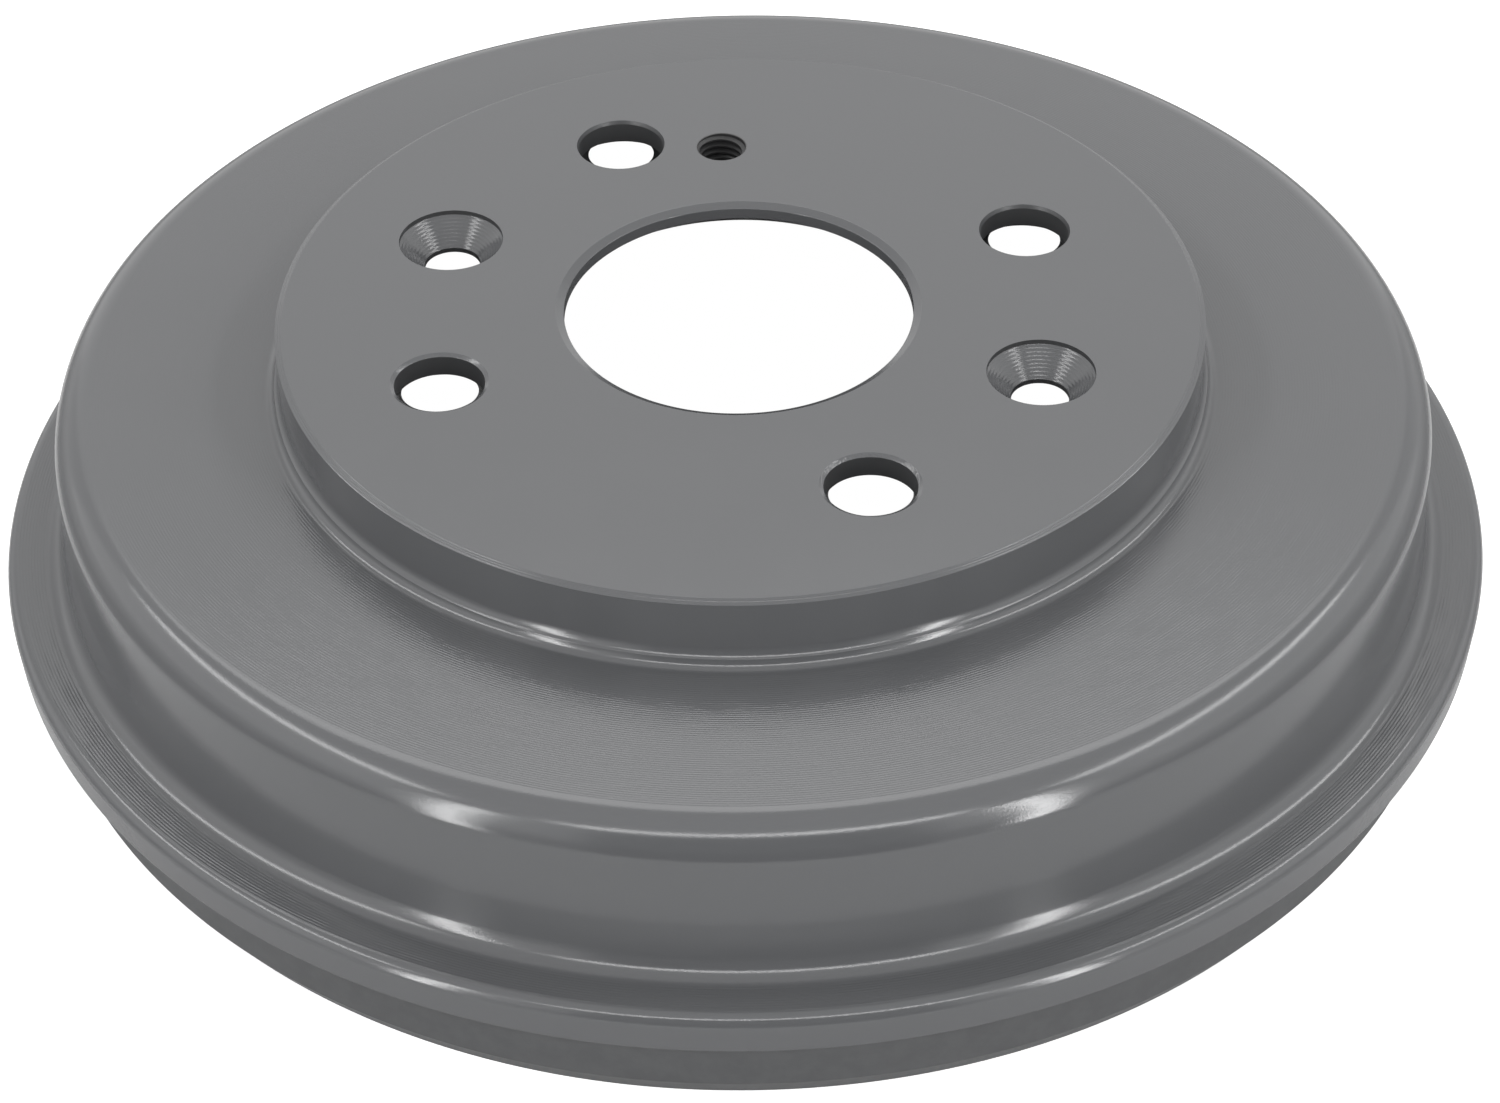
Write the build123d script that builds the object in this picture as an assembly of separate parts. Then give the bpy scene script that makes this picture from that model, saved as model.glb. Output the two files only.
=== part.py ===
"""Brake drum: one grey-iron casting, turned on the hub face, the web, the shoulder and the flange.

Millimetres, +Z up. The drum stands on its open rim: Z = 0 is the rim plane, the bore axis is Z,
and the hub face that the wheel seats on is the top. The wheel stud holes lie on +X, +Y, -X and -Y.
"""
from build123d import *
import math
import os

# Overall
OVERALL_HEIGHT = 59.5            # open rim to hub face

# Hub, seen from the wheel side
HUB_RADIUS = 73.0
HUB_EDGE_WIDTH = 1.7             # shallow turned chamfer round the hub face
HUB_EDGE_DEPTH = 1.0
HUB_BASE_FILLET = 0.9
LEDGE_DEPTH = 10.7               # narrow ledge at the foot of the hub, below the hub face
LEDGE_RADIUS = 74.6
LEDGE_STEP = 0.35                # the ledge stands this far above the web
LEDGE_STEP_FILLET = 1.0

# Web between the hub and the shoulder, falling slightly outwards
WEB_OUTER_DEPTH = 11.4
WEB_THICKNESS = 7.0

# Shoulder, waisted wall and flange
SHOULDER_RADIUS = 109.16
SHOULDER_ROUND = 5.8
FLANGE_RADIUS = 119.3
FLANGE_TOP_DEPTH = 37.1
FLANGE_FOOT_RADIUS = 118.9       # the flange's side has a slight draft
FLANGE_UNDERSIDE_DEPTH = 44.2
FLANGE_CORNER_ROUND = 1.5
FLANGE_LOWER_CHAMFER = 0.3
FLANGE_FILLET = 2.4
FLANGE_FILLET_END_RADIUS = 112.4
WAIST_FLARE_DEGREES = 20.0       # lean of the waisted wall where it runs into the flange fillet

# Skirt below the flange, and the open rim
SKIRT_RADIUS = 114.6
SKIRT_FILLET = 1.5
RIM_CHAMFER_WIDTH = 2.75
RIM_CHAMFER_HEIGHT = 4.3

# Inside
FRICTION_RADIUS = 100.0
FRICTION_BAND_HEIGHT = 36.5      # rim plane to the top of the ground friction band
FRICTION_LEAD_IN = 1.5
RELIEF_RADIUS = 101.0            # undercut above the friction band
INNER_CORNER_ROUND = 4.0
HUB_INNER_RADIUS = 67.0
HUB_INNER_LIP_ROUND = 2.0
PLATE_THICKNESS = 5.5            # hub plate clamped between the wheel and the axle hub

# Centre bore
BORE_RADIUS = 27.5
BORE_CHAMFER_WIDTH = 1.35
BORE_CHAMFER_DEPTH = 0.98
BORE_WALL_END_DEPTH = 2.9        # the pilot wall ends here and the spigot relief begins
BORE_RELIEF_WIDTH = 3.9

# Hub plate holes
HOLE_CIRCLE_RADIUS = 50.0
STUD_HOLE_RADIUS = 7.0
STUD_HOLE_COUNT = 4
STUD_CHAMFER_WIDTH = 0.65
STUD_CHAMFER_DEPTH = 0.45
STUD_WALL_END_DEPTH = 4.1        # clearance chamfer for the stud root on the inside
STUD_INNER_CHAMFER_WIDTH = 2.3
SCREW_HOLE_RADIUS = 4.5
SCREW_HEAD_RADIUS = 8.4
SCREW_HEAD_STEP = 0.8            # straight wall above the 90 degree countersink
SCREW_HOLE_COUNT = 2
SCREW_HOLE_ANGLE = -45.0
JACK_CIRCLE_RADIUS = 45.0
JACK_ANGLE = 70.5
JACK_TAP_RADIUS = 3.4            # tap drill of an M8 thread
JACK_CHAMFER_RADIUS = 4.05

CUT_MARGIN = 1.0                 # how far hole tools stand out of the plate


def level(depth):
    """Height of a turned edge from its depth below the hub face."""
    return OVERALL_HEIGHT - depth


def hub_outline():
    """Hub face, its edge chamfer, the hub wall, and the stepped foot down to the web."""
    face_edge = (HUB_RADIUS - HUB_EDGE_WIDTH, OVERALL_HEIGHT)
    wall_top = (HUB_RADIUS, level(HUB_EDGE_DEPTH))
    wall_foot = (HUB_RADIUS, level(LEDGE_DEPTH) + HUB_BASE_FILLET)
    fillet_centre = (HUB_RADIUS + HUB_BASE_FILLET, wall_foot[1])
    ledge_start = (fillet_centre[0], level(LEDGE_DEPTH))
    ledge_end = (LEDGE_RADIUS, level(LEDGE_DEPTH))
    turn = math.degrees(math.acos(1 - LEDGE_STEP / LEDGE_STEP_FILLET))
    run = LEDGE_STEP_FILLET * math.sin(math.radians(turn))
    step_centre = (LEDGE_RADIUS + run, level(LEDGE_DEPTH + LEDGE_STEP) + LEDGE_STEP_FILLET)
    edges = [
        Line((BORE_RADIUS + BORE_CHAMFER_WIDTH, OVERALL_HEIGHT), face_edge),
        Line(face_edge, wall_top),
        Line(wall_top, wall_foot),
        CenterArc(fillet_centre, HUB_BASE_FILLET, 180, 90),
        Line(ledge_start, ledge_end),
        CenterArc(step_centre, LEDGE_STEP_FILLET, 270 - turn, turn),
    ]
    return edges, (step_centre[0], level(LEDGE_DEPTH + LEDGE_STEP))


def wall_outline(web_start):
    """Web, rounded shoulder, waisted wall, flange and skirt, down to the open rim."""
    shoulder_centre = (SHOULDER_RADIUS - SHOULDER_ROUND, level(WEB_OUTER_DEPTH) - SHOULDER_ROUND)
    shoulder_top = (shoulder_centre[0], level(WEB_OUTER_DEPTH))
    shoulder_foot = (SHOULDER_RADIUS, shoulder_centre[1])
    fillet_centre = (FLANGE_FILLET_END_RADIUS, level(FLANGE_TOP_DEPTH) + FLANGE_FILLET)
    flare = math.radians(WAIST_FLARE_DEGREES)
    fillet_start = (
        fillet_centre[0] - FLANGE_FILLET * math.cos(flare),
        fillet_centre[1] - FLANGE_FILLET * math.sin(flare),
    )
    flange_top_start = (FLANGE_FILLET_END_RADIUS, level(FLANGE_TOP_DEPTH))
    corner_centre = (FLANGE_RADIUS - FLANGE_CORNER_ROUND, level(FLANGE_TOP_DEPTH) - FLANGE_CORNER_ROUND)
    flange_top_end = (corner_centre[0], level(FLANGE_TOP_DEPTH))
    flange_side_top = (FLANGE_RADIUS, corner_centre[1])
    underside = level(FLANGE_UNDERSIDE_DEPTH)
    flange_side_foot = (FLANGE_FOOT_RADIUS, underside + FLANGE_LOWER_CHAMFER)
    underside_start = (FLANGE_FOOT_RADIUS - FLANGE_LOWER_CHAMFER, underside)
    skirt_fillet_centre = (SKIRT_RADIUS + SKIRT_FILLET, underside - SKIRT_FILLET)
    underside_end = (skirt_fillet_centre[0], underside)
    skirt_top = (SKIRT_RADIUS, skirt_fillet_centre[1])
    skirt_foot = (SKIRT_RADIUS, RIM_CHAMFER_HEIGHT)
    rim_outer = (SKIRT_RADIUS - RIM_CHAMFER_WIDTH, 0)
    edges = [
        Line(web_start, shoulder_top),
        CenterArc(shoulder_centre, SHOULDER_ROUND, 0, 90),
        TangentArc(fillet_start, shoulder_foot, tangent=(-math.sin(flare), math.cos(flare))),
        CenterArc(fillet_centre, FLANGE_FILLET, 180 + WAIST_FLARE_DEGREES, 90 - WAIST_FLARE_DEGREES),
        Line(flange_top_start, flange_top_end),
        CenterArc(corner_centre, FLANGE_CORNER_ROUND, 0, 90),
        Line(flange_side_top, flange_side_foot),
        Line(flange_side_foot, underside_start),
        Line(underside_start, underside_end),
        CenterArc(skirt_fillet_centre, SKIRT_FILLET, 90, 90),
        Line(skirt_top, skirt_foot),
        Line(skirt_foot, rim_outer),
    ]
    return edges, rim_outer


def inner_outline(rim_outer):
    """Open rim, friction band, relief, underside of the web, inside of the hub, and the bore."""
    web_underside = level(WEB_OUTER_DEPTH + WEB_THICKNESS)
    plate_underside = level(PLATE_THICKNESS)
    rim_inner = (FRICTION_RADIUS + FRICTION_LEAD_IN, 0)
    band_foot = (FRICTION_RADIUS, FRICTION_LEAD_IN)
    band_top = (FRICTION_RADIUS, FRICTION_BAND_HEIGHT)
    relief_foot = (RELIEF_RADIUS, FRICTION_BAND_HEIGHT)
    corner_centre = (RELIEF_RADIUS - INNER_CORNER_ROUND, web_underside - INNER_CORNER_ROUND)
    corner_foot = (RELIEF_RADIUS, corner_centre[1])
    web_outer = (corner_centre[0], web_underside)
    lip_centre = (HUB_INNER_RADIUS + HUB_INNER_LIP_ROUND, web_underside + HUB_INNER_LIP_ROUND)
    web_inner = (lip_centre[0], web_underside)
    lip_top = (HUB_INNER_RADIUS, lip_centre[1])
    plate_corner = (HUB_INNER_RADIUS - INNER_CORNER_ROUND, plate_underside - INNER_CORNER_ROUND)
    hub_wall_top = (HUB_INNER_RADIUS, plate_corner[1])
    plate_outer = (plate_corner[0], plate_underside)
    relief_mouth = (BORE_RADIUS + BORE_RELIEF_WIDTH, plate_underside)
    bore_foot = (BORE_RADIUS, level(BORE_WALL_END_DEPTH))
    bore_top = (BORE_RADIUS, level(BORE_CHAMFER_DEPTH))
    return [
        Line(rim_outer, rim_inner),
        Line(rim_inner, band_foot),
        Line(band_foot, band_top),
        Line(band_top, relief_foot),
        Line(relief_foot, corner_foot),
        CenterArc(corner_centre, INNER_CORNER_ROUND, 0, 90),
        Line(web_outer, web_inner),
        CenterArc(lip_centre, HUB_INNER_LIP_ROUND, 180, 90),
        Line(lip_top, hub_wall_top),
        CenterArc(plate_corner, INNER_CORNER_ROUND, 0, 90),
        Line(plate_outer, relief_mouth),
        Line(relief_mouth, bore_foot),
        Line(bore_foot, bore_top),
        Line(bore_top, (BORE_RADIUS + BORE_CHAMFER_WIDTH, OVERALL_HEIGHT)),
    ]


def turned(outline):
    """Solid of revolution about Z from a closed outline of (radius, height) edges."""
    section = Plane.XZ * make_face(outline)
    return revolve(section, Axis.Z)


def turned_blank():
    """The whole turned form, before any hole is drilled."""
    hub, web_start = hub_outline()
    wall, rim_outer = wall_outline(web_start)
    return turned(hub + wall + inner_outline(rim_outer))


def hole_tool(outline):
    """Drill shape from (radius, depth below the hub face) points, closed along its own axis."""
    points = [(0, outline[0][1])] + outline + [(0, outline[-1][1])]
    return turned(Polyline([(radius, level(depth)) for radius, depth in points], close=True))


def stud_hole_tool():
    """Wheel stud hole with a small chamfer outside and a wide clearance chamfer inside."""
    return hole_tool([
        (STUD_HOLE_RADIUS + STUD_CHAMFER_WIDTH, -CUT_MARGIN),
        (STUD_HOLE_RADIUS + STUD_CHAMFER_WIDTH, 0),
        (STUD_HOLE_RADIUS, STUD_CHAMFER_DEPTH),
        (STUD_HOLE_RADIUS, STUD_WALL_END_DEPTH),
        (STUD_HOLE_RADIUS + STUD_INNER_CHAMFER_WIDTH, PLATE_THICKNESS),
        (STUD_HOLE_RADIUS + STUD_INNER_CHAMFER_WIDTH, PLATE_THICKNESS + CUT_MARGIN),
    ])


def screw_hole_tool():
    """Retaining screw hole: a shallow straight step, a 90 degree countersink and a clear hole."""
    cone_end = SCREW_HEAD_STEP + SCREW_HEAD_RADIUS - SCREW_HOLE_RADIUS
    return hole_tool([
        (SCREW_HEAD_RADIUS, -CUT_MARGIN),
        (SCREW_HEAD_RADIUS, SCREW_HEAD_STEP),
        (SCREW_HOLE_RADIUS, cone_end),
        (SCREW_HOLE_RADIUS, PLATE_THICKNESS + CUT_MARGIN),
    ])


def jack_hole_tool():
    """Tapped hole for the screw that jacks the drum off its hub, at tap drill size."""
    lead = JACK_CHAMFER_RADIUS - JACK_TAP_RADIUS
    return hole_tool([
        (JACK_CHAMFER_RADIUS, -CUT_MARGIN),
        (JACK_CHAMFER_RADIUS, 0),
        (JACK_TAP_RADIUS, lead),
        (JACK_TAP_RADIUS, PLATE_THICKNESS + CUT_MARGIN),
    ])


def brake_drum():
    """The drilled casting."""
    drum = turned_blank()
    for place in PolarLocations(HOLE_CIRCLE_RADIUS, STUD_HOLE_COUNT):
        drum -= place * stud_hole_tool()
    for place in PolarLocations(HOLE_CIRCLE_RADIUS, SCREW_HOLE_COUNT, start_angle=SCREW_HOLE_ANGLE):
        drum -= place * screw_hole_tool()
    for place in PolarLocations(JACK_CIRCLE_RADIUS, 1, start_angle=JACK_ANGLE):
        drum -= place * jack_hole_tool()
    return drum


os.makedirs("parts", exist_ok=True)
export_step(brake_drum(), "parts/brake_drum.step")
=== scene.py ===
"""Looks of the brake drum: a turned grey-iron casting under a semi-gloss grey coating.

The casting is turned again here, in the CAD's place and to its overall size, finely enough for its
reflections. It has small rounds on its edges, tool marks in its holes, and some forms that are read
more closely than in the CAD: the straight wall, the flange fillet, the hub foot and edge, and the
mouths of the holes. Sizes are in millimetres and are turned into metres where the meshes are made.
"""
import math

import bmesh
import bpy
from mathutils import Matrix, Vector

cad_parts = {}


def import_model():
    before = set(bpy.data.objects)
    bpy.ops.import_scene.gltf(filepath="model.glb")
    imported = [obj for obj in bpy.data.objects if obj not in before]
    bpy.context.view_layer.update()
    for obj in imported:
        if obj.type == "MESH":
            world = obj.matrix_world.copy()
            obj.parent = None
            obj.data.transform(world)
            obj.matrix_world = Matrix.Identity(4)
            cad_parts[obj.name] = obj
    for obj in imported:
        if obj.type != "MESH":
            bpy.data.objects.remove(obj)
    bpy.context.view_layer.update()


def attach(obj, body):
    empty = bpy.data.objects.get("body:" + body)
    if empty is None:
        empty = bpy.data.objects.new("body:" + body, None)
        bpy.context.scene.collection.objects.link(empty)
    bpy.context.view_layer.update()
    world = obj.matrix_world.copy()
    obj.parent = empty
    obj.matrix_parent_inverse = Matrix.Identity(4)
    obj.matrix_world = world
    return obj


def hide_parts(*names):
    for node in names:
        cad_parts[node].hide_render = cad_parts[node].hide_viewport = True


MM = 0.001

# The casting's outline: (radius, height above the open rim's plane)
HEIGHT = 59.5
HUB_RADIUS = 73.0
HUB_EDGE_WIDTH = 1.0
HUB_EDGE_DEPTH = 0.6
HUB_EDGE_RING_PITCH = 0.38
HUB_EDGE_RING_HEIGHT = 0.018
HUB_EDGE_STEPS = 30
HUB_FOOT_ROUND = 2.0
HUB_FOOT_DEPTH = 8.37
HUB_FOOT_END_DEGREES = 55.0
HUB_STEP_ROUND = 1.755
HUB_STEP_START_DEGREES = 12.0
WEB_OUTER_DEPTH = 11.4
WEB_THICKNESS = 7.0
SHOULDER_RADIUS = 109.16
SHOULDER_ROUND = 5.8
FLANGE_RADIUS = 119.3
FLANGE_TOP_DEPTH = 37.3
FLANGE_FOOT_RADIUS = 118.9
FLANGE_UNDERSIDE_DEPTH = 44.2
FLANGE_CORNER_ROUND = 2.0
FLANGE_LOWER_CHAMFER = 0.3
WALL_FOOT_RADIUS = 109.3
WALL_FOOT_DEPTH = 29.0
WALL_FLARE_DEGREES = 9.0
FLANGE_FILLET = 3.6
FLANGE_FILLET_END_RADIUS = 113.3
SKIRT_RADIUS = 114.6
SKIRT_FILLET = 1.5
RIM_CHAMFER_WIDTH = 2.75
RIM_CHAMFER_HEIGHT = 4.3
FRICTION_RADIUS = 100.0
FRICTION_BAND_HEIGHT = 36.5
FRICTION_LEAD_IN = 1.5
RELIEF_RADIUS = 101.0
INNER_CORNER_ROUND = 4.0
HUB_INNER_RADIUS = 67.0
HUB_INNER_LIP_ROUND = 2.0
PLATE_THICKNESS = 5.5
BORE_RADIUS = 27.5
BORE_CHAMFER_WIDTH = 1.3
BORE_CHAMFER_DEPTH = 0.65
BORE_WALL_END_DEPTH = 2.5
BORE_RELIEF_WIDTH = 3.9

# Holes in the hub plate
HOLE_CIRCLE_RADIUS = 50.0
STUD_HOLE_RADIUS = 7.0
STUD_HOLE_COUNT = 4
# Chamfer width and depth at the mouth of each stud hole: right, back, left, front
STUD_MOUTHS = ((0.3, 0.6), (0.3, 0.6), (0.65, 0.4), (0.7, 0.42))
STUD_WALL_END_DEPTH = 3.8
STUD_INNER_CHAMFER_WIDTH = 2.3
SCREW_HOLE_RADIUS = 4.5
SCREW_HEAD_RADIUS = 8.4
SCREW_HEAD_STEP = 0.8
SCREW_HOLE_ANGLES = (-45.0, 135.0)
SCREW_TOOL_RINGS = 9
SCREW_RING_HEIGHT = 0.008
JACK_CIRCLE_RADIUS = 45.0
JACK_ANGLE = 70.5
JACK_MINOR_RADIUS = 3.4
JACK_MAJOR_RADIUS = 4.0
JACK_PITCH = 1.25
JACK_CHAMFER_RADIUS = 4.08
THREAD_OVERLAP = 0.05
THREAD_START = 0.60
THREAD_ENDS_OPEN = 1.0
CUT_MARGIN = 1.0

# Fineness of the mesh
RING_STEPS = 384
HOLE_STEPS = 96
THREAD_STEPS_PER_TURN = 48
THREAD_RUN_OUT_STEPS = 12
EDGE_ROUND = 0.18
SHARP_ANGLE = math.radians(26.0)


def level(depth):
    """Height of a turned edge from its depth below the hub face."""
    return HEIGHT - depth


def arc(centre, radius, start, end, steps):
    """Points of an arc from one angle to another, in degrees, with both ends."""
    angles = [math.radians(start + (end - start) * i / steps) for i in range(steps + 1)]
    return [(centre[0] + radius * math.cos(a), centre[1] + radius * math.sin(a)) for a in angles]


def tangent_arc(start, end, direction, steps):
    """Points of the arc that leaves start along direction and arrives at end, with both ends."""
    a = Vector(start)
    b = Vector(end)
    normal = Vector((-direction[1], direction[0]))
    chord = b - a
    radius = chord.length_squared / (2 * chord.dot(normal))
    centre = a + normal * radius
    turn_start = math.atan2(a.y - centre.y, a.x - centre.x)
    turn = math.atan2(b.y - centre.y, b.x - centre.x) - turn_start
    turn = (turn + math.pi) % (2 * math.pi) - math.pi
    return arc(centre, abs(radius), math.degrees(turn_start), math.degrees(turn_start + turn), steps)


def soften(points, closed=True, radius=EDGE_ROUND, least_turn=math.radians(24)):
    """Rounds the sharp corners of an outline a little, as a coated edge is."""
    out = []
    count = len(points)
    for i, point in enumerate(points):
        if not closed and i in (0, count - 1):
            out.append(point)
            continue
        here = Vector(point)
        before = Vector(points[i - 1]) - here
        after = Vector(points[(i + 1) % count]) - here
        turn = math.pi - before.angle(after)
        room = min(before.length, after.length)
        if turn < least_turn or room < 0.1:
            out.append(point)
            continue
        reach = min(radius * math.tan(turn / 2), 0.4 * room)
        p = here + before.normalized() * reach
        q = here + after.normalized() * reach
        for t in (0.0, 0.25, 0.5, 0.75, 1.0):
            s = (1 - t) ** 2 * p + 2 * t * (1 - t) * here + t * t * q
            out.append((s.x, s.y))
    return out


def hub_edge():
    """The hub face's edge chamfer with its tool rings."""
    length = math.hypot(HUB_EDGE_WIDTH, HUB_EDGE_DEPTH)
    across = Vector((HUB_EDGE_DEPTH, HUB_EDGE_WIDTH)) / length
    points = []
    for i in range(HUB_EDGE_STEPS + 1):
        along = i / HUB_EDGE_STEPS
        fade = math.sin(math.pi * along) ** 0.5
        rings = math.sin(2 * math.pi * along * length / HUB_EDGE_RING_PITCH)
        lift = HUB_EDGE_RING_HEIGHT * fade * rings
        points.append((
            HUB_RADIUS - HUB_EDGE_WIDTH * (1 - along) + across.x * lift,
            level(HUB_EDGE_DEPTH * along) + across.y * lift,
        ))
    return points


def hub_outline():
    """Bore chamfer, hub face, edge chamfer, hub wall and the two scooped rounds at its foot."""
    foot_centre = (HUB_RADIUS + HUB_FOOT_ROUND, level(HUB_FOOT_DEPTH))
    foot = arc(foot_centre, HUB_FOOT_ROUND, 180, 180 + HUB_FOOT_END_DEGREES, 12)
    start = math.radians(HUB_STEP_START_DEGREES)
    step_centre = (
        foot[-1][0] + HUB_STEP_ROUND * math.cos(start),
        foot[-1][1] + HUB_STEP_ROUND * math.sin(start),
    )
    points = [
        (BORE_RADIUS, level(BORE_CHAMFER_DEPTH)),
        (BORE_RADIUS + BORE_CHAMFER_WIDTH, HEIGHT),
    ]
    points += hub_edge()
    points += foot
    points += arc(step_centre, HUB_STEP_ROUND, 180 + HUB_STEP_START_DEGREES, 270, 14)[1:]
    return points


def wall_outline():
    """Web, rounded shoulder, straight wall, flange and skirt, down to the open rim."""
    shoulder_centre = (SHOULDER_RADIUS - SHOULDER_ROUND, level(WEB_OUTER_DEPTH) - SHOULDER_ROUND)
    wall_foot = (WALL_FOOT_RADIUS, level(WALL_FOOT_DEPTH))
    fillet_centre = (FLANGE_FILLET_END_RADIUS, level(FLANGE_TOP_DEPTH) + FLANGE_FILLET)
    flare = math.radians(WALL_FLARE_DEGREES)
    fillet_start = (
        fillet_centre[0] - FLANGE_FILLET * math.cos(flare),
        fillet_centre[1] - FLANGE_FILLET * math.sin(flare),
    )
    corner_centre = (FLANGE_RADIUS - FLANGE_CORNER_ROUND, level(FLANGE_TOP_DEPTH) - FLANGE_CORNER_ROUND)
    underside = level(FLANGE_UNDERSIDE_DEPTH)
    skirt_fillet_centre = (SKIRT_RADIUS + SKIRT_FILLET, underside - SKIRT_FILLET)
    flaring = tangent_arc(fillet_start, wall_foot, (-math.sin(flare), math.cos(flare)), 6)
    points = arc(shoulder_centre, SHOULDER_ROUND, 90, 0, 22)
    points += flaring[:0:-1]
    points += arc(fillet_centre, FLANGE_FILLET, 180 + WALL_FLARE_DEGREES, 270, 16)
    points += arc(corner_centre, FLANGE_CORNER_ROUND, 90, 0, 12)
    points += [
        (FLANGE_FOOT_RADIUS, underside + FLANGE_LOWER_CHAMFER),
        (FLANGE_FOOT_RADIUS - FLANGE_LOWER_CHAMFER, underside),
    ]
    points += arc(skirt_fillet_centre, SKIRT_FILLET, 90, 180, 8)
    points += [(SKIRT_RADIUS, RIM_CHAMFER_HEIGHT), (SKIRT_RADIUS - RIM_CHAMFER_WIDTH, 0)]
    return points


def inner_outline():
    """Open rim, friction band, relief, underside of the web and the inside of the hub."""
    web_underside = level(WEB_OUTER_DEPTH + WEB_THICKNESS)
    plate_underside = level(PLATE_THICKNESS)
    corner_centre = (RELIEF_RADIUS - INNER_CORNER_ROUND, web_underside - INNER_CORNER_ROUND)
    lip_centre = (HUB_INNER_RADIUS + HUB_INNER_LIP_ROUND, web_underside + HUB_INNER_LIP_ROUND)
    plate_corner = (HUB_INNER_RADIUS - INNER_CORNER_ROUND, plate_underside - INNER_CORNER_ROUND)
    points = [
        (FRICTION_RADIUS + FRICTION_LEAD_IN, 0),
        (FRICTION_RADIUS, FRICTION_LEAD_IN),
        (FRICTION_RADIUS, FRICTION_BAND_HEIGHT),
        (RELIEF_RADIUS, FRICTION_BAND_HEIGHT),
    ]
    points += arc(corner_centre, INNER_CORNER_ROUND, 0, 90, 8)
    points += arc(lip_centre, HUB_INNER_LIP_ROUND, 270, 180, 6)
    points += arc(plate_corner, INNER_CORNER_ROUND, 0, 90, 8)
    points += [
        (BORE_RADIUS + BORE_RELIEF_WIDTH, plate_underside),
        (BORE_RADIUS, level(BORE_WALL_END_DEPTH)),
    ]
    return points


def turned_points(outline, steps):
    """The outline's points at each step of a turn about Z, in metres."""
    verts = []
    for step in range(steps):
        angle = 2 * math.pi * step / steps
        c, s = math.cos(angle), math.sin(angle)
        verts += [(r * c * MM, r * s * MM, z * MM) for r, z in outline]
    return verts


def revolve(name, outline, steps):
    """Closed mesh turned about Z from a closed outline that stays off the axis."""
    count = len(outline)
    faces = []
    for step in range(steps):
        here = step * count
        there = (step + 1) % steps * count
        for i in range(count):
            j = (i + 1) % count
            faces.append((here + i, there + i, there + j, here + j))
    return closed_mesh(name, turned_points(outline, steps), faces)


def revolve_to_axis(name, outline, steps):
    """Closed mesh turned about Z from an open outline, with its two ends capped across the axis."""
    count = len(outline)
    faces = []
    for step in range(steps):
        here = step * count
        there = (step + 1) % steps * count
        faces += [(here + i, there + i, there + i + 1, here + i + 1) for i in range(count - 1)]
    faces.append([step * count for step in range(steps)])
    faces.append([step * count + count - 1 for step in range(steps)])
    return closed_mesh(name, turned_points(outline, steps), faces)


def closed_mesh(name, verts, faces):
    """Mesh object with its faces turned outwards."""
    mesh = bpy.data.meshes.new(name)
    mesh.from_pydata(verts, [], faces)
    work = bmesh.new()
    work.from_mesh(mesh)
    bmesh.ops.recalc_face_normals(work, faces=work.faces)
    work.to_mesh(mesh)
    work.free()
    obj = bpy.data.objects.new(name, mesh)
    bpy.context.scene.collection.objects.link(obj)
    return obj


def on_circle(radius, degrees):
    """Place on a circle round the drum's axis, in metres."""
    angle = math.radians(degrees)
    return Vector((radius * math.cos(angle), radius * math.sin(angle), 0)) * MM


def hole_cutter(name, outline, place):
    """Cutter from (radius, depth below the hub face) points, from above the face to below the plate."""
    cutter = revolve_to_axis(name, [(r, level(depth)) for r, depth in outline], HOLE_STEPS)
    cutter.data.transform(Matrix.Translation(place))
    return cutter


def stud_cutter(name, place, mouth):
    """Wheel stud hole: broken edge outside, wide clearance chamfer inside."""
    width, depth = mouth
    mouth_radius = STUD_HOLE_RADIUS + width
    inner_radius = STUD_HOLE_RADIUS + STUD_INNER_CHAMFER_WIDTH
    outline = [(mouth_radius, -CUT_MARGIN)] + soften([
        (mouth_radius, 0),
        (STUD_HOLE_RADIUS, depth),
        (STUD_HOLE_RADIUS, STUD_WALL_END_DEPTH),
        (inner_radius, PLATE_THICKNESS),
        (inner_radius, PLATE_THICKNESS + CUT_MARGIN),
    ], closed=False)
    return hole_cutter(name, outline, place)


def screw_cutter(name, place):
    """Retaining screw hole: straight step, 90 degree countersink with tool rings, clear hole."""
    cone = SCREW_HEAD_RADIUS - SCREW_HOLE_RADIUS
    outline = [(SCREW_HEAD_RADIUS, -CUT_MARGIN), (SCREW_HEAD_RADIUS, SCREW_HEAD_STEP)]
    steps = 4 * SCREW_TOOL_RINGS
    for i in range(1, steps):
        along = cone * i / steps
        lift = SCREW_RING_HEIGHT * math.sin(math.pi * i / 2)
        outline.append((SCREW_HEAD_RADIUS - along + lift, SCREW_HEAD_STEP + along + lift))
    outline += [
        (SCREW_HOLE_RADIUS, SCREW_HEAD_STEP + cone),
        (SCREW_HOLE_RADIUS, PLATE_THICKNESS + CUT_MARGIN),
    ]
    return hole_cutter(name, outline, place)


def jack_cutter(name, place):
    """Jacking hole at the thread's major diameter. The thread itself is a piece of its own."""
    lead = JACK_CHAMFER_RADIUS - JACK_MAJOR_RADIUS
    return hole_cutter(name, [
        (JACK_CHAMFER_RADIUS, -CUT_MARGIN),
        (JACK_CHAMFER_RADIUS, 0),
        (JACK_MAJOR_RADIUS, lead),
        (JACK_MAJOR_RADIUS, PLATE_THICKNESS + CUT_MARGIN),
    ], place)


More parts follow.
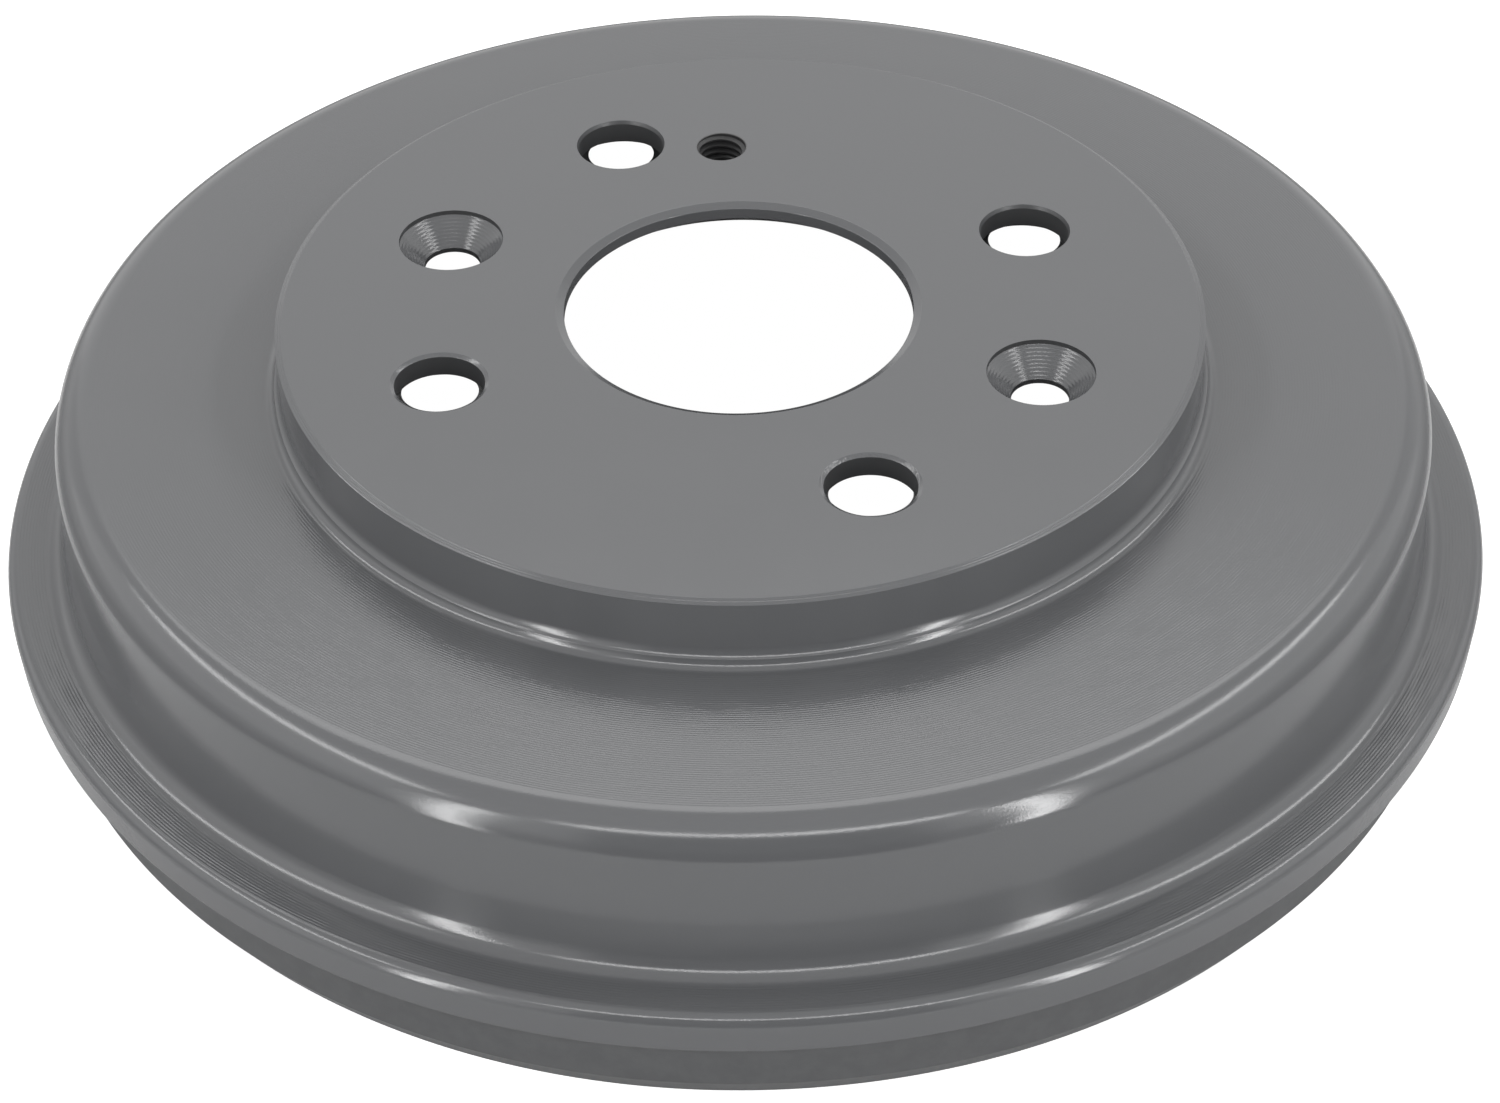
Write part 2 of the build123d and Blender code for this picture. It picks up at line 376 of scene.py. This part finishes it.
def hole_cutters():
    """Every hole's cutter, in its place."""
    cutters = []
    for i in range(STUD_HOLE_COUNT):
        place = on_circle(HOLE_CIRCLE_RADIUS, 360 * i / STUD_HOLE_COUNT)
        cutters.append(stud_cutter(f"stud_cutter_{i}", place, STUD_MOUTHS[i]))
    for i, angle in enumerate(SCREW_HOLE_ANGLES):
        cutters.append(screw_cutter(f"screw_cutter_{i}", on_circle(HOLE_CIRCLE_RADIUS, angle)))
    cutters.append(jack_cutter("jack_cutter", on_circle(JACK_CIRCLE_RADIUS, JACK_ANGLE)))
    return cutters


def drill(obj, cutters):
    """Cuts every hole, then drops the cutters and the modifiers."""
    for cutter in cutters:
        cut = obj.modifiers.new(cutter.name, "BOOLEAN")
        cut.operation = "DIFFERENCE"
        cut.solver = "EXACT"
        cut.object = cutter
    apply_modifiers(obj)
    for cutter in cutters:
        mesh = cutter.data
        bpy.data.objects.remove(cutter)
        bpy.data.meshes.remove(mesh)


def apply_modifiers(obj):
    """The evaluated mesh becomes the object's own."""
    bpy.context.view_layer.update()
    graph = bpy.context.evaluated_depsgraph_get()
    mesh = bpy.data.meshes.new_from_object(obj.evaluated_get(graph))
    old = obj.data
    obj.modifiers.clear()
    obj.data = mesh
    bpy.data.meshes.remove(old)


def smooth(obj):
    """Smooth shading that stays crisp at the edges and flat on the flats."""
    obj.data.shade_smooth()
    obj.data.set_sharp_from_angle(angle=SHARP_ANGLE)
    weighted = obj.modifiers.new("weighted", "WEIGHTED_NORMAL")
    weighted.keep_sharp = True
    weighted.weight = 100
    apply_modifiers(obj)


def casting():
    """The drum casting, turned and drilled."""
    outline = soften(hub_outline() + wall_outline() + inner_outline())
    obj = revolve("drum_casting", outline, RING_STEPS)
    drill(obj, hole_cutters())
    smooth(obj)
    return obj


def jack_thread():
    """The turns of the jacking thread, from the wall of its hole inwards."""
    turns = (PLATE_THICKNESS - THREAD_ENDS_OPEN) / JACK_PITCH
    steps = int(turns * THREAD_STEPS_PER_TURN)
    crest = JACK_PITCH / 8
    root = JACK_PITCH * 3 / 8
    outer = JACK_MAJOR_RADIUS + THREAD_OVERLAP
    section = [(outer, -root), (JACK_MINOR_RADIUS, -crest), (JACK_MINOR_RADIUS, crest), (outer, root)]
    place = on_circle(JACK_CIRCLE_RADIUS, JACK_ANGLE)
    start = level(PLATE_THICKNESS - THREAD_START)
    verts = []
    for step in range(steps + 1):
        angle = 2 * math.pi * step / THREAD_STEPS_PER_TURN
        height = start + JACK_PITCH * step / THREAD_STEPS_PER_TURN
        ease = min(1.0, step / THREAD_RUN_OUT_STEPS, (steps - step) / THREAD_RUN_OUT_STEPS)
        for r, z in section:
            deep = outer + (r - outer) * ease
            verts.append((
                place.x + deep * math.cos(angle) * MM,
                place.y + deep * math.sin(angle) * MM,
                (height + z) * MM,
            ))
    width = len(section)
    faces = []
    for step in range(steps):
        for i in range(width):
            a = step * width + i
            b = step * width + (i + 1) % width
            faces.append((a, b, b + width, a + width))
    faces.append(list(range(width)))
    faces.append([steps * width + i for i in range(width)])
    obj = closed_mesh("jacking_thread", verts, faces)
    smooth(obj)
    return obj


# Material

COATING = (0.104, 0.106, 0.111, 1.0)
CAST_COATING = (0.087, 0.089, 0.092, 1.0)
CAST_SHADE = (0.076, 0.078, 0.081, 1.0)
# Painted shade: the colour that darkens the walls of the holes
HOLE_PAINTED_SHADE = (0.045, 0.046, 0.048, 1.0)
# Painted shade: the jacking hole's wall and thread are made all but black
THREAD_PAINTED_SHADE = (0.016, 0.016, 0.017, 1.0)
GLOSS_ROUGHNESS = 0.15
CAST_ROUGHNESS = 0.42
HOLE_ROUGHNESS = 0.5
COATING_IOR = 1.58

# Turning marks: pitch in millimetres, slope, and the radii in metres between which they run
WEB_RINGS = (0.450, 0.055, 0.0762, 0.1032, 0.0012)
FLANGE_RINGS = (0.4835, 0.12, 0.1130, 0.1176, 0.0003)
DASHES_ALONG_RADIUS = 900.0
DASHES_ROUND_TURN = 14.0

# Noise scales are per metre and heights are in metres
GRAIN_SCALE = 2800.0
GRAIN_HEIGHT = 0.000012
BURR_SCALE = 1300.0
BURR_HEIGHT = 0.00012
BURR_OFFSET = 0.0012
BURR_REACH = 0.0073
LEFT_BURR_SHARE = 0.3
CLOUD_SCALE = 60.0
PATCH_SCALE = 350.0
JACK_SHADE_RADIUS = 0.0042


class Nodes:
    """Short names for building a node tree."""

    def __init__(self, tree):
        self.tree = tree

    def add(self, kind, **settings):
        node = self.tree.nodes.new(kind)
        for key, value in settings.items():
            setattr(node, key, value)
        return node

    def link(self, output, socket):
        self.tree.links.new(output, socket)

    def split(self, vector):
        """The vector's three parts."""
        node = self.add("ShaderNodeSeparateXYZ")
        self.link(vector, node.inputs[0])
        return node.outputs

    def maths(self, operation, *values):
        node = self.add("ShaderNodeMath", operation=operation)
        for i, value in enumerate(values):
            if isinstance(value, (int, float)):
                node.inputs[i].default_value = value
            else:
                self.link(value, node.inputs[i])
        return node.outputs[0]

    def band(self, value, low, high, blur):
        """1 between low and high, falling to 0 over blur outside them."""
        rise = self.ramp(value, low - blur, low)
        fall = self.ramp(value, high + blur, high)
        return self.maths("MULTIPLY", rise, fall)

    def ramp(self, value, start, end, low=0.0, high=1.0):
        node = self.add("ShaderNodeMapRange")
        self.link(value, node.inputs["Value"])
        node.inputs["From Min"].default_value = start
        node.inputs["From Max"].default_value = end
        node.inputs["To Min"].default_value = low
        node.inputs["To Max"].default_value = high
        return node.outputs["Result"]

    def mix_value(self, factor, a, b):
        """a where factor is 0, b where it is 1."""
        node = self.add("ShaderNodeMix", data_type="FLOAT")
        self.link(factor, node.inputs["Factor"])
        for value, name in ((a, "A"), (b, "B")):
            if isinstance(value, (int, float)):
                node.inputs[name].default_value = value
            else:
                self.link(value, node.inputs[name])
        return node.outputs["Result"]

    def mix_colour(self, factor, a, b):
        """Colour a where factor is 0, b where it is 1."""
        node = self.add("ShaderNodeMix", data_type="RGBA")
        self.link(factor, node.inputs["Factor"])
        for value, name in ((a, "A"), (b, "B")):
            socket = next(i for i in node.inputs if i.name == name and i.type == "RGBA")
            if isinstance(value, tuple):
                socket.default_value = value
            else:
                self.link(value, socket)
        return next(o for o in node.outputs if o.type == "RGBA")

    def noise(self, vector, scale, detail=2.0, roughness=0.5):
        node = self.add("ShaderNodeTexNoise")
        self.link(vector, node.inputs["Vector"])
        node.inputs["Scale"].default_value = scale
        node.inputs["Detail"].default_value = detail
        node.inputs["Roughness"].default_value = roughness
        return node.outputs["Fac"]

    def bump(self, height, distance, normal):
        node = self.add("ShaderNodeBump")
        node.inputs["Distance"].default_value = distance
        node.inputs["Strength"].default_value = 1.0
        self.link(height, node.inputs["Height"])
        self.link(normal, node.inputs["Normal"])
        return node.outputs[0]


def ring_slope(n, radius, pitch, slope):
    """Outward slope of tool rings whose pitch is in millimetres."""
    wave = n.maths("COSINE", n.maths("MULTIPLY", radius, 2 * math.pi / (pitch * MM)))
    return n.maths("MULTIPLY", wave, slope)


def near_axis(n, x, y, centre, reach):
    """1 within reach of an upright axis, both in metres."""
    dx = n.maths("SUBTRACT", x, centre[0])
    dy = n.maths("SUBTRACT", y, centre[1])
    squared = n.maths("ADD", n.maths("MULTIPLY", dx, dx), n.maths("MULTIPLY", dy, dy))
    return n.ramp(n.maths("SQRT", squared), reach, reach - 0.0001)


def turning_marks(n, x, y, radius, facing_up):
    """Shading normal of the turned faces: broken rings round the axis on the web and the flange."""
    slopes = []
    for pitch, slope, low, high, blur in (WEB_RINGS, FLANGE_RINGS):
        within = n.band(radius, low, high, blur)
        slopes.append(n.maths("MULTIPLY", ring_slope(n, radius, pitch, slope), within))
    slope = n.maths("MULTIPLY", n.maths("ADD", *slopes), facing_up)
    around = n.add("ShaderNodeCombineXYZ")
    n.link(n.maths("MULTIPLY", radius, DASHES_ALONG_RADIUS), around.inputs[0])
    n.link(n.maths("MULTIPLY", n.maths("ARCTAN2", y, x), DASHES_ROUND_TURN), around.inputs[1])
    dashes = n.ramp(n.noise(around.outputs[0], 1.0, 3.0, 0.6), 0.35, 0.65, 0.35, 1.5)
    slope = n.maths("MULTIPLY", slope, dashes)
    lean = n.add("ShaderNodeCombineXYZ")
    n.link(n.maths("MULTIPLY", n.maths("DIVIDE", x, radius), slope), lean.inputs[0])
    n.link(n.maths("MULTIPLY", n.maths("DIVIDE", y, radius), slope), lean.inputs[1])
    leant = n.add("ShaderNodeVectorMath", operation="ADD")
    n.link(n.add("ShaderNodeNewGeometry").outputs["Normal"], leant.inputs[0])
    n.link(lean.outputs[0], leant.inputs[1])
    whole = n.add("ShaderNodeVectorMath", operation="NORMALIZE")
    n.link(leant.outputs[0], whole.inputs[0])
    return whole.outputs[0]


def burr_height(n, place, x, y, z, upward):
    """Small burrs on the broken edge of the front stud hole, fainter on the left one, far side."""
    offset = direction(0, 0) * BURR_OFFSET
    front = near_axis(n, x, y, on_circle(HOLE_CIRCLE_RADIUS, 270) + offset, BURR_REACH)
    left = near_axis(n, x, y, on_circle(HOLE_CIRCLE_RADIUS, 180) + offset, BURR_REACH)
    burrs = n.maths("ADD", front, n.maths("MULTIPLY", left, LEFT_BURR_SHARE))
    at_face = n.ramp(z, level(0.45) * MM, level(0.40) * MM)
    off_face = n.ramp(upward, 0.97, 0.93)
    burrs = n.maths("MULTIPLY", n.maths("MULTIPLY", burrs, at_face), off_face)
    return n.maths("MULTIPLY", n.noise(place, BURR_SCALE, 2.0, 0.6), burrs)


def coating_material():
    """Grey coating over turned iron: fine grain everywhere, turning marks on the web and flange, and
    painted shade down in the holes.
    """
    material = bpy.data.materials.new("drum_coating")
    material.use_nodes = True
    tree = material.node_tree
    n = Nodes(tree)
    shader = tree.nodes["Principled BSDF"]
    shader.inputs["IOR"].default_value = COATING_IOR

    place = n.add("ShaderNodeTexCoord").outputs["Object"]
    x, y, z = n.split(place)
    squared = n.maths("ADD", n.maths("MULTIPLY", x, x), n.maths("MULTIPLY", y, y))
    radius = n.maths("SQRT", squared)
    upward = n.split(n.add("ShaderNodeNewGeometry").outputs["True Normal"])[2]
    facing_up = n.ramp(upward, 0.9, 0.99)

    turned = turning_marks(n, x, y, radius, facing_up)
    grained = n.bump(n.noise(place, GRAIN_SCALE, 2.0, 0.6), GRAIN_HEIGHT, turned)
    burred = n.bump(burr_height(n, place, x, y, z, upward), BURR_HEIGHT, grained)
    n.link(burred, shader.inputs["Normal"])

    # Below the flange the skirt is as cast, so its coating is flatter and faintly mottled
    below_flange = n.ramp(
        z,
        level(FLANGE_UNDERSIDE_DEPTH - 0.1) * MM,
        level(FLANGE_UNDERSIDE_DEPTH + 0.1) * MM,
    )
    cast = n.maths("MULTIPLY", below_flange, n.ramp(radius, 0.1085, 0.1090))
    cloud = n.noise(place, CLOUD_SCALE, 3.0)
    gloss = n.ramp(cloud, 0.3, 0.7, GLOSS_ROUGHNESS - 0.01, GLOSS_ROUGHNESS + 0.02)
    patches = n.ramp(n.noise(place, PATCH_SCALE, 4.0, 0.6), 0.38, 0.62)

    # The coating is dull down in the holes, and darker there too: painted shade on the hole walls and
    # on the jacking thread, where little light reaches
    steep = n.ramp(n.maths("ABSOLUTE", upward), 0.55, 0.40)
    off_circle = n.maths("ABSOLUTE", n.maths("SUBTRACT", radius, HOLE_CIRCLE_RADIUS * MM))
    at_holes = n.ramp(off_circle, 0.0085, 0.0083)
    # Painted shade is deepest within the jacking hole, on its wall and thread
    jack = near_axis(n, x, y, on_circle(JACK_CIRCLE_RADIUS, JACK_ANGLE), JACK_SHADE_RADIUS)
    in_plate = n.ramp(z, level(PLATE_THICKNESS + 0.5) * MM, level(PLATE_THICKNESS + 0.3) * MM)
    hole_shade_and_dullness = n.maths("MAXIMUM", n.maths("MULTIPLY", steep, at_holes), jack)
    hole_shade_and_dullness = n.maths("MULTIPLY", hole_shade_and_dullness, in_plate)

    rough = n.mix_value(cast, gloss, CAST_ROUGHNESS)
    n.link(n.mix_value(hole_shade_and_dullness, rough, HOLE_ROUGHNESS), shader.inputs["Roughness"])
    tone = n.mix_colour(cast, COATING, n.mix_colour(patches, CAST_COATING, CAST_SHADE))
    # Painted shade: the walls of the holes take a darker colour
    tone = n.mix_colour(hole_shade_and_dullness, tone, HOLE_PAINTED_SHADE)
    # Painted shade: within the jacking hole, wall and thread turn near black
    n.link(n.mix_colour(jack, tone, THREAD_PAINTED_SHADE), shader.inputs["Base Color"])
    return material


def paint(obj, material):
    """The material is the object's only one."""
    obj.data.materials.clear()
    obj.data.materials.append(material)


# Stage

CAMERA_FOCAL_PX = 3918.0
IMAGE_WIDTH = 1500.0
IMAGE_HEIGHT = 1103.0
CAMERA_ELEVATION = math.radians(38.83)
CAMERA_ROLL = math.radians(-1.91)
CAMERA_AZIMUTH = math.radians(-20.88)
# Centre of the hub face along the camera's own right, down and ahead axes, in millimetres
AXIS_OFFSET = (13.92, -34.73, 616.3)
CENTRE_X = 650.0
CENTRE_Y = 525.0
SENSOR = 36.0

# Lights and grounds: sizes in metres, strengths where 1 is white
WORLD_LIGHT = 0.35
MIRRORED_FLOOR = 0.45
HORIZON_BLUR = (-0.16, 0.12)
FLOOR_SIZE = 6.0
FLOOR_COLOUR = (0.7, 0.7, 0.7, 1.0)
FLOOR_GLOW = 0.8
FLOOR_DARK_RADIUS = 0.110
FLAG_HALF_WIDTH = 0.42
FLAG_DISTANCE = 0.95
FLAG_FOOT = -1.2
FLAG_TOP = 0.74
FLAG_COLOUR = (0.15, 0.15, 0.15, 1.0)
SHEET_HALF_WIDTH = 0.175
SHEET_LIFT = 0.0002
SHEET_COLOUR = (0.85, 0.85, 0.85, 1.0)

# White cards under the hub plate, in millimetres: half widths for the holes right, back, left, front
CARD_DEPTH = 6.1
CARD_STEPS = 64
BORE_CARD_MARGIN = 1.5
STUD_CARD_HALF_DEPTH = 5.2
STUD_CARD_HALF_WIDTHS = (5.85, 5.5, 6.05, 6.4)


def camera():
    """The camera at the photograph's viewing angle."""
    ce, se = math.cos(CAMERA_ELEVATION), math.sin(CAMERA_ELEVATION)
    cr, sr = math.cos(CAMERA_ROLL), math.sin(CAMERA_ROLL)
    level_axes = Matrix(((1, 0, 0), (0, -se, -ce), (0, ce, -se)))
    roll = Matrix(((cr, -sr, 0), (sr, cr, 0), (0, 0, 1)))
    turn = Matrix.Rotation(CAMERA_AZIMUTH, 3, "Z")
    to_camera = roll @ level_axes @ turn.transposed()
    place = -(to_camera.transposed() @ Vector(AXIS_OFFSET)) + Vector((0, 0, HEIGHT))
    data = bpy.data.cameras.new("camera")
    data.sensor_width = SENSOR
    data.lens = CAMERA_FOCAL_PX / IMAGE_WIDTH * SENSOR
    data.shift_x = (IMAGE_WIDTH / 2 - CENTRE_X) / IMAGE_WIDTH
    data.shift_y = (CENTRE_Y - IMAGE_HEIGHT / 2) / IMAGE_WIDTH
    data.clip_start = 0.01
    obj = bpy.data.objects.new("camera", data)
    flip = Matrix(((1, 0, 0), (0, -1, 0), (0, 0, -1)))
    turned_axes = to_camera.transposed() @ flip
    obj.matrix_world = Matrix.Translation(place * MM) @ turned_axes.to_4x4()
    bpy.context.scene.collection.objects.link(obj)
    bpy.context.scene.camera = obj


def direction(azimuth, elevation):
    """Unit vector towards a bearing, in degrees, measured from where the camera looks."""
    bearing = math.radians(90 + azimuth) + CAMERA_AZIMUTH
    height = math.radians(elevation)
    return Vector((
        math.cos(height) * math.cos(bearing),
        math.cos(height) * math.sin(bearing),
        math.sin(height),
    ))


def lamp(name, azimuth, distance, low, high, length, radiance, upright=False):
    """Area lamp that faces the drum from an azimuth, at a level distance from the axis, in metres.

    It reaches from a low to a high height over the floor. A bar that hangs over the drum leans to
    face it. An upright one stands straight.
    """
    middle = (low + high) / 2
    towards = direction(azimuth, 0) * distance
    place = towards + Vector((0, 0, middle))
    facing = towards if upright else place
    data = bpy.data.lights.new(name, "AREA")
    data.shape = "RECTANGLE"
    data.size = length
    data.size_y = high - low
    data.energy = radiance * data.size * data.size_y * math.pi
    obj = bpy.data.objects.new(name, data)
    obj.location = place
    obj.rotation_euler = (-facing).to_track_quat("-Z", "Y").to_euler()
    bpy.context.scene.collection.objects.link(obj)


def lamps():
    """A light booth: a bar over each side of the drum, an upright at each front corner, a lit back."""
    lamp("front_bar", 181, 1.05, 0.97, 1.13, 1.30, 6.8)
    lamp("left_bar", 89, 1.05, 1.09, 1.25, 1.50, 6.5)
    lamp("right_bar", -92, 1.05, 1.07, 1.23, 1.50, 6.5)
    lamp("back_bar", 0, 1.05, 1.24, 1.99, 1.36, 2.2)
    lamp("back_wall", 0, 1.06, 0.02, 1.12, 1.50, 0.35, upright=True)
    lamp("left_wall", 88, 1.06, 0.25, 0.95, 1.50, 0.45, upright=True)
    lamp("right_wall", -90, 1.06, 0.25, 0.95, 1.50, 0.45, upright=True)
    lamp("left_upright", 136.4, 1.40, -0.56, 0.95, 0.12, 13.5, upright=True)
    lamp("right_upright", -140, 1.40, -0.52, 0.95, 0.13, 14.5, upright=True)


def stage_mesh(name, verts, faces, material):
    """Flat stage piece: its corners are in metres."""
    mesh = bpy.data.meshes.new(name)
    mesh.from_pydata([tuple(corner) for corner in verts], [], faces)
    obj = bpy.data.objects.new(name, mesh)
    bpy.context.scene.collection.objects.link(obj)
    obj.data.materials.append(material)
    return obj


def matte(name, colour):
    """Plain material without a shine."""
    material = bpy.data.materials.new(name)
    material.use_nodes = True
    shader = material.node_tree.nodes["Principled BSDF"]
    shader.inputs["Base Color"].default_value = colour
    shader.inputs["Specular IOR Level"].default_value = 0.0
    return material


def bare_material(name):
    """Material with only its output, and the short names for its nodes."""
    material = bpy.data.materials.new(name)
    material.use_nodes = True
    tree = material.node_tree
    tree.nodes.remove(tree.nodes["Principled BSDF"])
    return material, Nodes(tree), tree.nodes["Material Output"].inputs["Surface"]


def mirrored_only(obj):
    """Seen in reflections, and neither by the camera nor by the light."""
    obj.visible_camera = False
    obj.visible_diffuse = False
    obj.visible_shadow = False


def front_flag():
    """Dark card behind the camera, which the drum's front reflects and which shades nothing."""
    across = direction(90, 0) * FLAG_HALF_WIDTH
    middle = direction(180, 0) * FLAG_DISTANCE
    low, high = Vector((0, 0, FLAG_FOOT)), Vector((0, 0, FLAG_TOP))
    corners = [
        middle - across + low,
        middle + across + low,
        middle + across + high,
        middle - across + high,
    ]
    mirrored_only(stage_mesh("front_flag", corners, [(0, 1, 2, 3)], matte("front_flag", FLAG_COLOUR)))


def sheet():
    """White sheet that the drum stands on, seen only in reflections: lit, with the drum's shadow."""
    front, side = direction(180, 0) * SHEET_HALF_WIDTH, direction(90, 0) * SHEET_HALF_WIDTH
    lift = Vector((0, 0, SHEET_LIFT))
    corners = [front - side + lift, front + side + lift, side - front + lift, -front - side + lift]
    mirrored_only(stage_mesh("sheet", corners, [(0, 1, 2, 3)], matte("sheet", SHEET_COLOUR)))


def world():
    """White to the camera and in reflections, and a plain soft light on the object.

    Below the horizon reflections see the grey of the booth's floor.
    """
    made = bpy.data.worlds.new("world")
    bpy.context.scene.world = made
    made.use_nodes = True
    n = Nodes(made.node_tree)
    background = made.node_tree.nodes["Background"]
    background.inputs["Color"].default_value = (1, 1, 1, 1)
    path = n.add("ShaderNodeLightPath")
    seen = n.maths("MAXIMUM", path.outputs["Is Camera Ray"], path.outputs["Is Glossy Ray"])
    seen = n.maths("MAXIMUM", seen, path.outputs["Is Transmission Ray"])
    heading = n.split(n.add("ShaderNodeTexCoord").outputs["Generated"])
    mirrored = n.ramp(heading[2], *HORIZON_BLUR, MIRRORED_FLOOR, 1.0)
    bright = n.mix_value(path.outputs["Is Camera Ray"], mirrored, 1.0)
    n.link(n.mix_value(seen, WORLD_LIGHT, bright), background.inputs["Strength"])


def floor():
    """Pale floor, which glows to the camera outside the drum.

    Its light and its glow together clip to white, so the drum's shadow does not show on it.
    Reflections pass it by, so the uprights of the booth show in the drum down to their feet.
    """
    material, n, surface = bare_material("floor")
    diffuse = n.add("ShaderNodeBsdfDiffuse")
    diffuse.inputs["Color"].default_value = FLOOR_COLOUR
    glow = n.add("ShaderNodeEmission")
    path = n.add("ShaderNodeLightPath")
    x, y, _ = n.split(n.add("ShaderNodeTexCoord").outputs["Object"])
    outside = n.maths("SUBTRACT", 1.0, near_axis(n, x, y, (0.0, 0.0), FLOOR_DARK_RADIUS))
    seen = n.maths("MULTIPLY", path.outputs["Is Camera Ray"], outside)
    n.link(n.maths("MULTIPLY", seen, FLOOR_GLOW), glow.inputs["Strength"])
    both = n.add("ShaderNodeAddShader")
    n.link(diffuse.outputs[0], both.inputs[0])
    n.link(glow.outputs[0], both.inputs[1])
    n.link(both.outputs[0], surface)
    half = FLOOR_SIZE / 2
    corners = [(-half, -half, 0), (half, -half, 0), (half, half, 0), (-half, half, 0)]
    obj = stage_mesh("floor", corners, [(0, 1, 2, 3)], material)
    obj.visible_glossy = False


def behind(centre, depth):
    """Where the main camera's line of sight through a hole's middle meets the cards' plane."""
    eye = bpy.context.scene.camera.matrix_world.translation / MM
    middle = Vector((centre[0], centre[1], level(depth)))
    sight = middle - eye
    return middle + sight * ((level(CARD_DEPTH) - middle.z) / sight.z)


def hole_cards():
    """Middle, half width and half depth of the white card under each hole that shows white."""
    radius = BORE_RADIUS + BORE_CARD_MARGIN
    cards = [(behind((0.0, 0.0), BORE_WALL_END_DEPTH / 2), radius, radius)]
    for i, half_width in enumerate(STUD_CARD_HALF_WIDTHS):
        place = on_circle(HOLE_CIRCLE_RADIUS, 360 * i / STUD_HOLE_COUNT) / MM
        middle = behind(place, STUD_WALL_END_DEPTH / 2)
        cards.append((middle, half_width, STUD_CARD_HALF_DEPTH))
    for angle in SCREW_HOLE_ANGLES:
        middle = behind(on_circle(HOLE_CIRCLE_RADIUS, angle) / MM, PLATE_THICKNESS)
        cards.append((middle, SCREW_HOLE_RADIUS, SCREW_HOLE_RADIUS))
    return cards


def card_material():
    """White to the camera from above, clear from below."""
    material, n, surface = bare_material("hole_card")
    mix = n.add("ShaderNodeMixShader")
    n.link(n.add("ShaderNodeNewGeometry").outputs["Backfacing"], mix.inputs[0])
    n.link(n.add("ShaderNodeEmission").outputs[0], mix.inputs[1])
    n.link(n.add("ShaderNodeBsdfTransparent").outputs[0], mix.inputs[2])
    n.link(mix.outputs[0], surface)
    return material


def hole_card():
    """White cards behind the hub plate, which stand for the background seen through its holes.

    Their places and shapes suit the main camera only.
    """
    side, ahead = direction(-90, 0), direction(0, 0)
    verts = []
    faces = []
    for middle, half_width, half_depth in hole_cards():
        faces.append(list(range(len(verts), len(verts) + CARD_STEPS)))
        for i in range(CARD_STEPS):
            angle = 2 * math.pi * i / CARD_STEPS
            rim = middle + side * half_width * math.cos(angle) + ahead * half_depth * math.sin(angle)
            verts.append(rim * MM)
    obj = stage_mesh("hole_card", verts, faces, card_material())
    obj.visible_diffuse = False
    obj.visible_glossy = False
    obj.visible_transmission = False
    obj.visible_shadow = False


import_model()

camera()
coating = coating_material()
drum = casting()
thread = jack_thread()
for piece in (drum, thread):
    paint(piece, coating)
    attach(piece, "root")
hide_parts("brake_drum")

lamps()
front_flag()
sheet()
world()
floor()
hole_card()

bpy.context.scene.view_settings.view_transform = "Standard"
